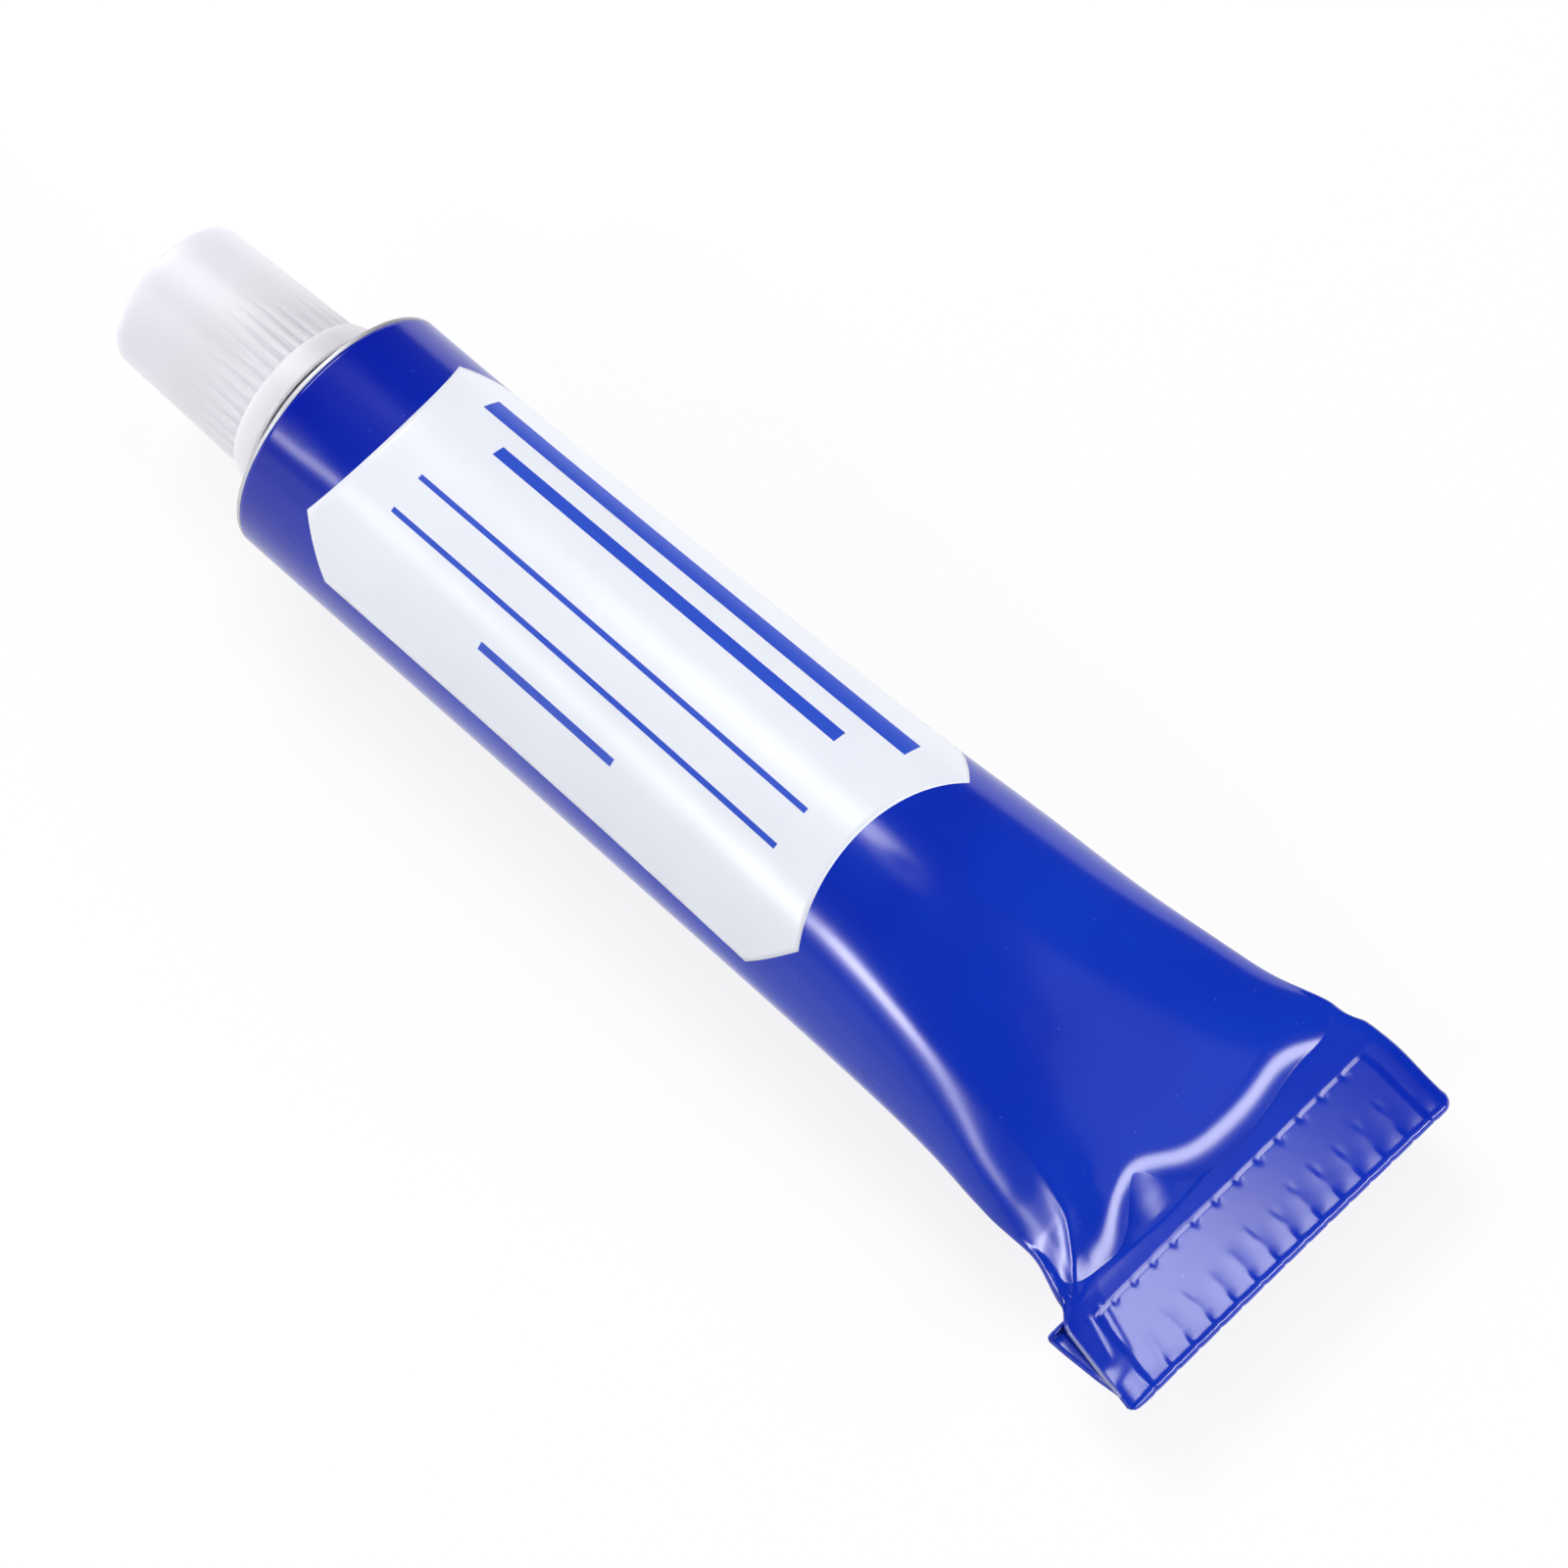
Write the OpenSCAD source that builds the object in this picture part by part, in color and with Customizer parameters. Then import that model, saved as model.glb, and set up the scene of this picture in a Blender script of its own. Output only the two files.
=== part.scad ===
// Collapsible aluminium glue tube with a folded tail and a fluted screw cap.
// The tube lies on its belly: X runs from the cap (-X) to the folded tail (+X),
// Y is across, Z is up and the table is at Z = 0. All sizes are in millimetres.

/* [Sleeve] */
// Outside diameter of the tube at its shoulder
tube_d = 22; // [16:0.5:28]
// Wall of the sleeve
wall = 0.15; // [0.1:0.01:0.25]
// Length of the sleeve from the shoulder rim to the start of the fold
sleeve_len = 89.5; // [60:0.5:130]
// How far the filled belly sags flat on the table
belly_sag = 0.25; // [0.1:0.05:0.5]
// Height of the flattened tail above the table
tail_height = 6.8; // [4:0.1:7.5]

/* [Folded tail] */
// Length of the folded strip along the tube
fold_len = 8.5; // [6:0.1:12]
// Sealing latex between the two walls in the fold
sealant_t = 0.2; // [0.1:0.05:0.3]
// Air between two folded layers
layer_gap = 0.1; // [0.05:0.05:0.3]
// Distance from the start of the fold to the edge of the back flap
flap_start = 1; // [0.5:0.1:2]

/* [Label] */
// Distance from the shoulder rim to the label's first tips
label_start = 5.9; // [3:0.1:12]
// Length of the label between its tips
label_len = 52; // [30:0.5:70]
// Width of the label, measured round the tube
label_w = 28; // [16:0.5:36]
// Width between the two tips at each end
label_tip_w = 18.5; // [10:0.5:24]
// Length of the sloped corner beside each tip
label_corner = 3.5; // [1:0.1:6]
// Depth of the hollow curve between the tips
label_hollow = 2; // [0:0.1:4]
// Angle that the label is turned from the top, towards -Y
label_turn = 6; // [-20:1:20]
// Thickness of the printed film
label_t = 0.06; // [0.04:0.01:0.12]
// Space between the film and the tube
label_gap = 0.06; // [0.05:0.01:0.1]

/* [Shoulder and neck] */
// Height of the plain bare rim at the shoulder
rim_h = 0.3; // [0.2:0.05:0.8]
// Height of the shoulder cone
shoulder_h = 3.1; // [2.4:0.1:4.5]
// Thickness of the shoulder, measured along the tube
head_t = 1; // [0.8:0.05:1.4]
// Diameter of the neck below its thread
neck_d = 9.6; // [8:0.1:12]
// Length of the neck above the shoulder
neck_len = 8; // [6:0.1:11]
// Diameter of the nozzle hole
nozzle_d = 5.2; // [2:0.1:6.5]
// Thickness of the web that closes the nozzle
membrane_t = 0.2; // [0.1:0.05:0.4]

/* [Thread] */
// Pitch of the right-hand thread
pitch = 2; // [1.6:0.1:2.6]
// Height of the thread ridge on the neck
thread_depth = 0.55; // [0.4:0.05:0.7]
// Width of a ridge at its root
ridge_root_w = 0.8; // [0.6:0.05:0.9]
// Width of a ridge at its crest
ridge_crest_w = 0.4; // [0.2:0.05:0.5]
// Plain length at each end of the neck's thread
thread_margin = 1.4; // [1:0.1:2]
// Clearance from a thread crest to the surface that it faces
thread_clear = 0.3; // [0.2:0.05:0.5]

/* [Cap] */
// Wall of the cap from its bore to the ribs at its base
cap_wall = 1.4; // [1:0.05:2]
// How much smaller in radius the cap is at its top than at its base
cap_taper = 0.43; // [0.3:0.01:0.8]
// Height of the plain flared collar
collar_h = 1.9; // [1.2:0.1:3]
// How far the collar flares out past the ribs
collar_flare = 0.85; // [0.4:0.05:1.5]
// Wall of the collar at its lip
collar_wall = 0.7; // [0.5:0.05:1]
// Gap from the collar's inner edge to the shoulder
collar_gap = 0.45; // [0.3:0.05:1]
// Number of flutes
flute_count = 36; // [20:1:44]
// Depth of a flute at the collar
flute_depth = 0.27; // [0.15:0.01:0.28]
// Width of a flute at the collar
flute_w = 0.8; // [0.4:0.05:0.9]
// Plain band between the collar and the flutes
flute_foot = 0.2; // [0.1:0.05:1]
// Thickness of the crown between the bore and the piercer's recess
crown_t = 1.2; // [0.8:0.1:2]
// Depth of the recess that holds the piercer
recess_depth = 5.3; // [4:0.1:8]
// Wall round the recess at the top of the cap
recess_wall = 2.2; // [1.5:0.1:3]
// Diameter of the piercer at its root
piercer_d = 3.4; // [2:0.1:4]
// How far the piercer's point stays below the top of the cap
piercer_sunk = 0.9; // [0.4:0.1:2]
// Rounding of the cap's top edge
top_round = 0.7; // [0.3:0.1:1]
// Thickness of the sealing liner
liner_t = 1; // [0.6:0.1:2]
// Gap on each face of the liner
liner_play = 0.05; // [0.02:0.01:0.1]
// Gap round the liner
liner_side = 0.3; // [0.2:0.05:0.4]

/* [Glue] */
// Height of the glue's surface above the tube's axis
glue_level = 1.9; // [-3:0.1:9]
// Space between the glue and the wall
glue_gap = 0.1; // [0.05:0.01:0.2]
// Distance from the glue to the start of the fold
glue_end = 1.2; // [0.8:0.1:3]

/* [Hidden] */
$fn = 64;

// Sleeve values: a flattened sleeve keeps its girth, so the tail is half of it wide
tube_r = tube_d / 2;
flat_w = PI * tube_r;
layer_t = 2 * wall + sealant_t;
layer_step = layer_t + layer_gap;
sleeve_sides = 44;
sleeve_rings = 24;
sag_run = 6;
thinning = 0.3;
bluntness = 20;
closing = 1.3;
pinch_from = 0.75;
pinch_most = 0.4;
tail_blend = 1;

// Neck values, measured outwards from the shoulder rim along the tube's axis
neck_r = neck_d / 2;
slope = shoulder_h / (tube_r - neck_r);
neck_root = rim_h + shoulder_h;
neck_tip = neck_root + neck_len;
ridge_sink = 0.2;
ridge_steps = 24;
thread_start = neck_root + thread_margin;
thread_turns = (neck_len - 2 * thread_margin) / pitch;
ridge_fade = 0.15;

// Cap values, measured the same way
bore_r = neck_r + thread_depth + thread_clear;
cap_r = bore_r + cap_wall;
collar_r = cap_r + collar_flare;
lip_r = collar_r - collar_wall;
cap_base = shoulder_at(lip_r) + collar_gap;
collar_top = cap_base + collar_h;
liner_base = neck_tip + liner_play;
crown_base = liner_base + liner_t + liner_play;
recess_base = crown_base + crown_t;
cap_top = recess_base + recess_depth;
cap_top_r = cap_r - cap_taper;
recess_r = cap_top_r - recess_wall;
collar_step = 0.25;
lip_round = 0.3;

// Where the shoulder rim stands, with the whole tube centred on the origin
axis_z = tube_r;
rim_x = (cap_top - sleeve_len - fold_len) / 2;

// Height of the shoulder's outside at radius r
function shoulder_at(r) = rim_h + slope * (tube_r - r);

// Half the sleeve's thickness at x: it thins slowly from the rim, then closes bluntly to the fold
function half_height(x) =
    let (s = min(1, x / sleeve_len), thinned = 1 - thinning * s * s)
    layer_t / 2 + (tube_r - layer_t / 2) * thinned * pow(1 - pow(s, bluntness), closing);

// Half the sleeve's width at x, from the girth that stays the same
function half_width(x) =
    tube_r + (flat_w / 2 - tube_r) * (1 - pow(half_height(x) / tube_r, 1.75));

// The larger of the section's own half height and the tail's height, blended softly
function carried(h) = (h + tail_height + sqrt(pow(h - tail_height, 2) + pow(tail_blend, 2))) / 2;

// Height of the section's middle: the belly stays down on the table, the tail at its own height
function centre_z(x) =
    carried(half_height(x)) - carried(tube_r) + tube_r - belly_sag * (1 - exp(-x / sag_run));

// The sides draw in to a crease towards the tail
function pinch(x) = 1 + pinch_most * max(0, (x / sleeve_len - pinch_from) / (1 - pinch_from));

// A point of the section at x and angle t, moved inwards by inset and kept under a ceiling
function section_point(x, t, inset, ceiling) =
    let (rise = sign(sin(t)) * pow(abs(sin(t)), pinch(x)) * (half_height(x) - inset))
    [
        rim_x + x,
        (half_width(x) - inset) * cos(t),
        min(ceiling, max(inset, centre_z(x) + rise)),
    ];

function section_ring(x, inset, ceiling = tube_d) =
    [for (i = [0 : sleeve_sides - 1]) section_point(x, 360 * i / sleeve_sides, inset, ceiling)];

// Places along the sleeve, closer together towards the fold
function stations(first, last) =
    [for (k = [0 : sleeve_rings]) first + (last - first) * (1 - pow(1 - k / sleeve_rings, 1.8))];

// Triangles between neighbouring rings of side_count points, with the first ring's index and count
function skin(side_count, ring_count, wrap_rings) =
    [
        for (k = [0 : ring_count - (wrap_rings ? 1 : 2)], i = [0 : side_count - 1])
            let (
                next_k = (k + 1) % ring_count,
                next_i = (i + 1) % side_count,
                a = k * side_count + i,
                b = next_k * side_count + i,
                c = next_k * side_count + next_i,
                d = k * side_count + next_i
            )
            each [[a, b, c], [a, c, d]],
    ];

function flat_list(lists) = [for (one = lists) each one];
function turned(list) = [for (i = [len(list) - 1 : -1 : 0]) list[i]];

// A solid from a row of rings, closed by a flat face at each end
module lofted(rings) {
    side_count = len(rings[0]);
    ring_count = len(rings);
    first_end = [for (i = [0 : side_count - 1]) i];
    last_end = [for (i = [side_count - 1 : -1 : 0]) (ring_count - 1) * side_count + i];
    polyhedron(
        points = flat_list(rings),
        faces = concat(skin(side_count, ring_count, false), [first_end, last_end])
    );
}

// A hollow solid from rings that go out along the outside and come back along the inside
module hollow(rings) {
    polyhedron(points = flat_list(rings), faces = skin(len(rings[0]), len(rings), true));
}

// Sets shapes that are built up along Z on the tube's axis, growing towards the cap
module on_axis() {
    translate([rim_x, 0, axis_z]) rotate([0, -90, 0]) children();
}

// One helical ridge. It rises from root_r to crest_r and fades in and out at its ends.
module ridge(root_r, crest_r, start, turns) {
    steps = round(ridge_steps * turns);
    outward = sign(crest_r - root_r);
    rings = [
        for (k = [0 : steps])
            let (
                t = 360 * turns * k / steps,
                h = start + pitch * t / 360,
                full = min(1, k / steps / ridge_fade, (1 - k / steps) / ridge_fade),
                r = root_r + outward * (ridge_sink / 2 + (abs(crest_r - root_r) - ridge_sink / 2) * full),
                corners = [
                    [root_r, h - ridge_root_w / 2],
                    [r, h - ridge_crest_w / 2],
                    [r, h + ridge_crest_w / 2],
                    [root_r, h + ridge_root_w / 2],
                ]
            )
            [for (q = outward > 0 ? turned(corners) : corners) [q[0] * cos(t), q[0] * sin(t), q[1]]],
    ];
    lofted(rings);
}

// Points of a quarter circle about a centre, from angle a to angle b
function arc(centre, r, a, b, steps = 4) =
    [for (k = [0 : steps]) let (t = a + (b - a) * k / steps) centre + r * [cos(t), sin(t)]];

module tube_sleeve() {
    xs = stations(0, sleeve_len);
    outside = [for (x = xs) section_ring(x, 0)];
    inside = [for (x = xs) section_ring(x, wall)];
    color("#0f2fb4") hollow(concat(outside, turned(inside)));
}

// Shoulder cone, bare rim and threaded neck, all turned about the tube's axis
module tube_head() {
    nozzle_r = nozzle_d / 2;
    inner_rim = tube_r - (head_t - rim_h) / slope;
    color("#c9ccd4") on_axis() {
        rotate_extrude()
            polygon([
                [inner_rim, 0],
                [tube_r, 0],
                [tube_r, rim_h],
                [neck_r, neck_root],
                [neck_r, neck_tip],
                [nozzle_r, neck_tip],
                [nozzle_r, shoulder_at(nozzle_r) - head_t],
            ]);
        ridge(neck_r - ridge_sink, neck_r + thread_depth, thread_start, thread_turns);
    }
}

// Thin web that closes the nozzle until the cap's point breaks it
module nozzle_membrane() {
    color("#b9bcc4") on_axis()
        translate([0, 0, neck_tip - membrane_t]) cylinder(h = membrane_t, d = nozzle_d);
}

// Half of a flat ring on the side where x is over (side = 1) or under (side = -1) the centre
module half_ring(centre, r, thickness, side) {
    reach = r + thickness;
    translate(centre)
        intersection() {
            difference() {
                circle(r + thickness / 2);
                circle(r - thickness / 2);
            }
            translate([side > 0 ? 0 : -reach, -reach]) square([reach, 2 * reach]);
        }
}

// The folded strip from its side: the front layer turns under at the tail's end, runs back
// as the flap, turns in again and ends between the two
module folded_strip(thickness) {
    turn_x = fold_len - layer_step - layer_t / 2;
    tuck_x = flap_start + layer_step / 2 + layer_t / 2;
    tuck_end = turn_x - layer_step;
    translate([0, -thickness / 2]) square([turn_x, thickness]);
    half_ring([turn_x, -layer_step], layer_step, thickness, 1);
    translate([tuck_x, -2 * layer_step - thickness / 2]) square([turn_x - tuck_x, thickness]);
    half_ring([tuck_x, -1.5 * layer_step], layer_step / 2, thickness, -1);
    translate([tuck_x, -layer_step - thickness / 2]) square([tuck_end - tuck_x, thickness]);
}

// Carries a side outline of the fold across the tube
module across(width) {
    translate([rim_x + sleeve_len, 0, centre_z(sleeve_len)])
        rotate([90, 0, 0]) linear_extrude(height = width, center = true) children();
}

module tail_fold() {
    color("#0f2fb4") difference() {
        across(flat_w) folded_strip(layer_t);
        across(flat_w - 2 * wall) folded_strip(sealant_t);
    }
}

module tail_sealant() {
    color("#d8c9a0") across(flat_w - 2 * wall) folded_strip(sealant_t);
}

// Where the label's first end lies at a distance s round the tube from its middle line
function label_edge(s) =
    let (tip = label_tip_w / 2, side = label_w / 2)
    abs(s) <= tip
        ? label_hollow * (1 - pow(s / tip, 2))
        : label_corner * (abs(s) - tip) / (side - tip);

// White printed panel, a thin film that follows the sleeve
module label_panel() {
    tip = label_tip_w / 2;
    side = label_w / 2;
    corner_steps = 4;
    tip_steps = 16;
    length_steps = 14;
    places = concat(
        [for (k = [0 : corner_steps - 1]) -side + (side - tip) * k / corner_steps],
        [for (k = [0 : tip_steps - 1]) -tip + 2 * tip * k / tip_steps],
        [for (k = [0 : corner_steps]) tip + (side - tip) * k / corner_steps]
    );
    rings = [
        for (k = [0 : length_steps])
            let (
                row = function(inset) [
                    for (s = places)
                        let (
                            edge = label_edge(s),
                            x = label_start + edge + (label_len - 2 * edge) * k / length_steps,
                            t = 90 + label_turn + 360 * s / (PI * tube_d)
                        )
                        section_point(x, t, inset, 2 * tube_d),
                ]
            )
            concat(row(-label_gap - label_t), turned(row(-label_gap))),
    ];
    side_count = len(rings[0]);
    last = (len(rings) - 1) * side_count;
    half = len(places);
    first_end = [
        for (i = [0 : half - 2])
            let (a = i, b = i + 1, c = side_count - 2 - i, d = side_count - 1 - i)
            each [[a, b, c], [a, c, d]],
    ];
    last_end = [for (face = first_end) [for (p = turned(face)) p + last]];
    color("#e9ebf6") polyhedron(
        points = flat_list(rings),
        faces = concat(skin(side_count, len(rings), false), first_end, last_end)
    );
}

// The glue, lying level in the tube with air above it
module glue_fill() {
    inset = wall + glue_gap;
    color("#d9a441")
        lofted([
            for (x = stations(glue_gap, sleeve_len - glue_end)) section_ring(x, inset, axis_z + glue_level),
        ]);
}

// Soft disc trapped in the crown of the cap, which seals on the tip of the neck
module cap_liner() {
    color("#f4f4f2") on_axis()
        translate([0, 0, liner_base]) cylinder(h = liner_t, r = bore_r - liner_side);
}

// Outline of one flute: a V whose point lies flute_depth inside the cap's base radius.
// The cap tapers and the V does not, so each flute fades out on its way up.
module flute() {
    reach = 1.3;
    polygon([[0, 0], [reach * flute_depth, reach * flute_w / 2], [reach * flute_depth, -reach * flute_w / 2]]);
}

// Fluted screw cap with its thread, flared collar and recessed piercer
module screw_cap() {
    // The cap's thread lies half a pitch from the neck's, so the ridges run in each other's gaps
    cap_thread_start = thread_start + pitch / 2;
    cap_thread_turns = thread_turns - 0.5;
    color("#f5f3fa") on_axis() {
        difference() {
            rotate_extrude()
                polygon(concat(
                    [[0, crown_base], [bore_r, crown_base], [bore_r, collar_top]],
                    [[lip_r, cap_base]],
                    arc([collar_r - lip_round, cap_base + lip_round], lip_round, -90, 0),
                    [[cap_r + collar_step, collar_top], [cap_r, collar_top]],
                    arc([cap_top_r - top_round, cap_top - top_round], top_round, 0, 90),
                    [[recess_r, cap_top], [recess_r, recess_base], [0, recess_base]]
                ));
            for (i = [0 : flute_count - 1])
                rotate(360 * i / flute_count)
                    translate([cap_r - flute_depth, 0, collar_top + flute_foot])
                        linear_extrude(height = cap_top - collar_top) flute();
        }
        ridge(bore_r + ridge_sink, neck_r + thread_clear, cap_thread_start, cap_thread_turns);
        translate([0, 0, recess_base])
            cylinder(h = recess_depth - piercer_sunk, d1 = piercer_d, d2 = 0.3);
    }
}

tube_sleeve();
tube_head();
nozzle_membrane();
tail_fold();
tail_sealant();
label_panel();
glue_fill();
cap_liner();
screw_cap();
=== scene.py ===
# %% [markdown]
# # A glue tube, built as surfaces
# This lesson dresses a collapsible aluminium glue tube. The solid model gives every piece its place
# and size; here each piece becomes a smooth surface worked out with numpy, and then gets its finish.
# The frame is X from the cap to the folded tail, Y across, Z up, with the table at zero. Shapes are
# worked out in millimetres and put into the meshes in metres. The near side is the one at negative Y.

# %% Load the frame
import math

import bpy
import numpy as np
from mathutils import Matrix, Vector


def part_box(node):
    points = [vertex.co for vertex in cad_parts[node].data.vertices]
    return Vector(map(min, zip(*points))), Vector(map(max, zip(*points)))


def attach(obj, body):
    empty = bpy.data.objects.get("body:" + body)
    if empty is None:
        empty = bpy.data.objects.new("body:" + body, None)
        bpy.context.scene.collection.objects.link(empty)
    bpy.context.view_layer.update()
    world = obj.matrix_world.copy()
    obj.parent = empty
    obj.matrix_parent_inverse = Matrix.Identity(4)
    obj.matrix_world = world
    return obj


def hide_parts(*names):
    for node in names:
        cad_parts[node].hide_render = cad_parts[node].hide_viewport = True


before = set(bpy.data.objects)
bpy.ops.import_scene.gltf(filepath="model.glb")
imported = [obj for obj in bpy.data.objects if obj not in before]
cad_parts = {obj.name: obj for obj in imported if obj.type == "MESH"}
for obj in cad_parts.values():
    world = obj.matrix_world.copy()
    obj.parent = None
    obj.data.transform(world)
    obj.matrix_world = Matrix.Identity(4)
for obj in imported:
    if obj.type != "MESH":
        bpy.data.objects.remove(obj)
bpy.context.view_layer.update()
scene = bpy.context.scene

# %% [markdown]
# ## Sizes from the solids
# The sizes could be typed in again, but a piece that takes them from the solid it stands for can't drift
# away from it. The corners of the boxes give the shoulder rim, the tube's axis, the fold and the cap.

# %% Read the sizes
MM = 0.001


def node_span(node):
    """Lowest and highest corner of a solid in the frame, in millimetres."""
    return [np.array(corner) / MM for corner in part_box(node)]


sleeve_low, sleeve_high = node_span("tube_sleeve")
fold_low, fold_high = node_span("tail_fold")
head_low = node_span("tube_head")[0]
web_low, web_high = node_span("nozzle_membrane")
liner_low, liner_high = node_span("cap_liner")
cap_low, cap_high = node_span("screw_cap")
label_low, label_high = node_span("label_panel")
glue_high = node_span("glue_fill")[1]

rim_x = sleeve_low[0]
sleeve_len = sleeve_high[0] - rim_x
tube_r = sleeve_high[2] / 2
flat_half = fold_high[1]
fold_len = fold_high[0] - fold_low[0]
print(f"tube {2 * tube_r:.1f} mm across, sleeve {sleeve_len:.1f} mm, fold {fold_len:.1f} mm")

# %% [markdown]
# ## Camera
# The photograph looks down steeply at the tube from its tail's side, through a long lens. A camera could
# be placed by eye, but then the outlines never quite meet. So its angles, distance and lens were fitted
# to the rim, the cap and the corners of the tail.

# %% Camera
LOOK_AT = Vector((6.55, 1.59, 11.0)) * MM
AZIMUTH, ELEVATION = math.radians(43.946), math.radians(61.671)
DISTANCE = 459.7 * MM
SENSOR_WIDTH, FOCAL_LENGTH = 36, 140.26
back = Vector((
    math.sin(AZIMUTH) * math.cos(ELEVATION),
    -math.cos(AZIMUTH) * math.cos(ELEVATION),
    math.sin(ELEVATION),
))
camera_data = bpy.data.cameras.new("camera")
camera_data.sensor_width = SENSOR_WIDTH
camera_data.lens = FOCAL_LENGTH
camera_data.clip_start = 0.01
camera = bpy.data.objects.new("camera", camera_data)
camera.location = LOOK_AT + back * DISTANCE
camera.rotation_euler = back.to_track_quat("Z", "Y").to_euler()
scene.collection.objects.link(camera)
scene.camera = camera
print("camera at", [round(v, 3) for v in camera.location])

# %% [markdown]
# ## Nodes and colours
# A finish is a small tree of shader nodes, which could also be placed by hand. One function adds a node
# with its settings and links, one turns a written colour into the linear values that shaders use, and
# one turns a real size into a pattern's scale.

# %% Node and colour helpers


def linear(code):
    """A colour written as #rrggbb, as linear red, green, blue and alpha. The sRGB curve is a straight line
    near black and a power of 2.4 above it."""
    levels = np.array([int(code[i:i + 2], 16) for i in (1, 3, 5)]) / 255
    low, high = levels / 12.92, ((levels + 0.055) / 1.055) ** 2.4
    return (*np.where(levels <= 0.04045, low, high), 1.0)


def scale_of(size):
    """Scale of a pattern whose cells are about size millimetres wide: one over that size in metres."""
    return 1 / (size * MM)


def add(tree, kind, sockets=None, **settings):
    """Adds a node, sets its settings, and sets or links its input sockets."""
    node = tree.nodes.new("ShaderNode" + kind)
    for key, value in settings.items():
        setattr(node, key, value)
    for key, value in (sockets or {}).items():
        if isinstance(value, bpy.types.NodeSocket):
            tree.links.new(value, node.inputs[key])
        else:
            node.inputs[key].default_value = value
    return node


def new_material(name):
    """An empty node material, with its tree."""
    material = bpy.data.materials.new(name)
    material.use_nodes = True
    material.node_tree.nodes.clear()
    return material, material.node_tree


def cover(material, shader, *pieces):
    """Ends a material's tree with a shader and puts the material on some pieces."""
    add(material.node_tree, "OutputMaterial", {"Surface": shader.outputs[0]})
    for piece in pieces:
        piece.data.materials.append(material)
    print(material.name, "on", [piece.name for piece in pieces])


print("blue enamel in linear light:", [round(v, 3) for v in linear("#0e3cc0")])

# %% [markdown]
# ## Floor
# The tube lies on white paper. Strong lamps could make the paper white, but they would bleach the tube
# as well. So where the camera or a reflection sees the floor it mostly glows white by itself, and the
# rest of it is lit paper, which holds the shadow.

# %% Floor
FLOOR_HALF, FLOOR_GLOW = 1.5, 0.85
floor_mesh = bpy.data.meshes.new("floor")
corner_signs = ((-1, -1), (1, -1), (1, 1), (-1, 1))
corners = [(a * FLOOR_HALF, b * FLOOR_HALF, 0) for a, b in corner_signs]
floor_mesh.from_pydata(corners, [], [(0, 1, 2, 3)])
floor = bpy.data.objects.new("floor", floor_mesh)
scene.collection.objects.link(floor)

paper, tree = new_material("white_paper_floor")
rays = add(tree, "LightPath").outputs
seen = add(tree, "Math", {0: rays["Is Camera Ray"], 1: rays["Is Glossy Ray"]}, operation="MAXIMUM")
seen = add(tree, "Math", {0: seen.outputs[0], 1: rays["Is Transmission Ray"]}, operation="MAXIMUM")
share = add(tree, "Math", {0: seen.outputs[0], 1: FLOOR_GLOW}, operation="MULTIPLY")
lit = add(tree, "BsdfDiffuse", {"Color": linear("#f2f2f2")})
glow = add(tree, "Emission", {"Color": (1, 1, 1, 1), "Strength": 1.0})
mixed = add(tree, "MixShader", {0: share.outputs[0], 1: lit.outputs[0], 2: glow.outputs[0]})
cover(paper, mixed, floor)

# %% [markdown]
# ## Light
# Glossy enamel shows its form by what it mirrors. One large lamp would leave the highlights to chance. So
# a large panel gives the plain level, and small lamps stand where the photograph's highlights ask for
# them. One is seen in reflections only; the two that lift the cap's shaded wall never are.

# %% Lights
ROOM_LIGHT = 0.06
world = bpy.data.worlds.new("room")
world.use_nodes = True
background = world.node_tree.nodes["Background"].inputs
background["Color"].default_value = (1, 1, 1, 1)
background["Strength"].default_value = ROOM_LIGHT
scene.world = world


def soft_panel(name, towards, distance, size, power, roll=0.0):
    """A rectangular lamp that faces the tube from the direction towards. Its width is level, unless it is
    rolled about that direction by some degrees."""
    lamp = bpy.data.lights.new(name, "AREA")
    lamp.shape = "RECTANGLE"
    lamp.size, lamp.size_y = size
    lamp.energy = power
    panel = bpy.data.objects.new(name, lamp)
    direction = Vector(towards).normalized()
    panel.location = LOOK_AT + direction * distance
    panel.rotation_euler = direction.to_track_quat("Z", "Y").to_euler()
    panel.rotation_euler.rotate_axis("Z", math.radians(roll))
    panel.visible_camera = False
    scene.collection.objects.link(panel)
    return panel


# The plain level, from above and behind the cap
soft_panel("key_panel", (-0.68, 0.12, 0.72), 1.6, (1.0, 0.62), 17)
# A small panel overhead, mirrored by the crimped plate
soft_panel("fold_panel", (-0.18, 0.223, 0.958), 0.44, (0.1, 0.08), 0.27)
# A strip for the streak along the near side, and a card that brightens it on the crease
soft_panel("near_strip", (-0.17, -0.80, 0.575), 0.6, (0.68, 0.055), 1.1)
streak_card = soft_panel("streak_card", (-0.043, -0.796, 0.604), 0.583, (0.12, 0.08), 0.57)
streak_card.visible_diffuse = False
# A low, wide card for the pale sheen on the near flank
soft_panel("near_card", (-0.2, -0.95, 0.15), 0.9, (1.4, 0.3), 0.9)
# A panel past the tail, mirrored by the crest above the fold, and a faint one for the front's sheen
soft_panel("tail_panel", (0.88, 0.32, 0.36), 0.6, (0.52, 0.14), 3.0, roll=-15)
soft_panel("sheen_card", (0.53, 0.33, 0.77), 1.0, (0.6, 0.4), 0.3)
# Two small cards close to the cap
soft_panel("cap_near_card", (-0.60, -0.76, 0.26), 0.22, (0.12, 0.08), 0.075).visible_glossy = False
soft_panel("cap_far_card", (-0.73, 0.67, 0.11), 0.132, (0.08, 0.05), 0.02).visible_glossy = False
scene.view_settings.view_transform = "Standard"

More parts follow.
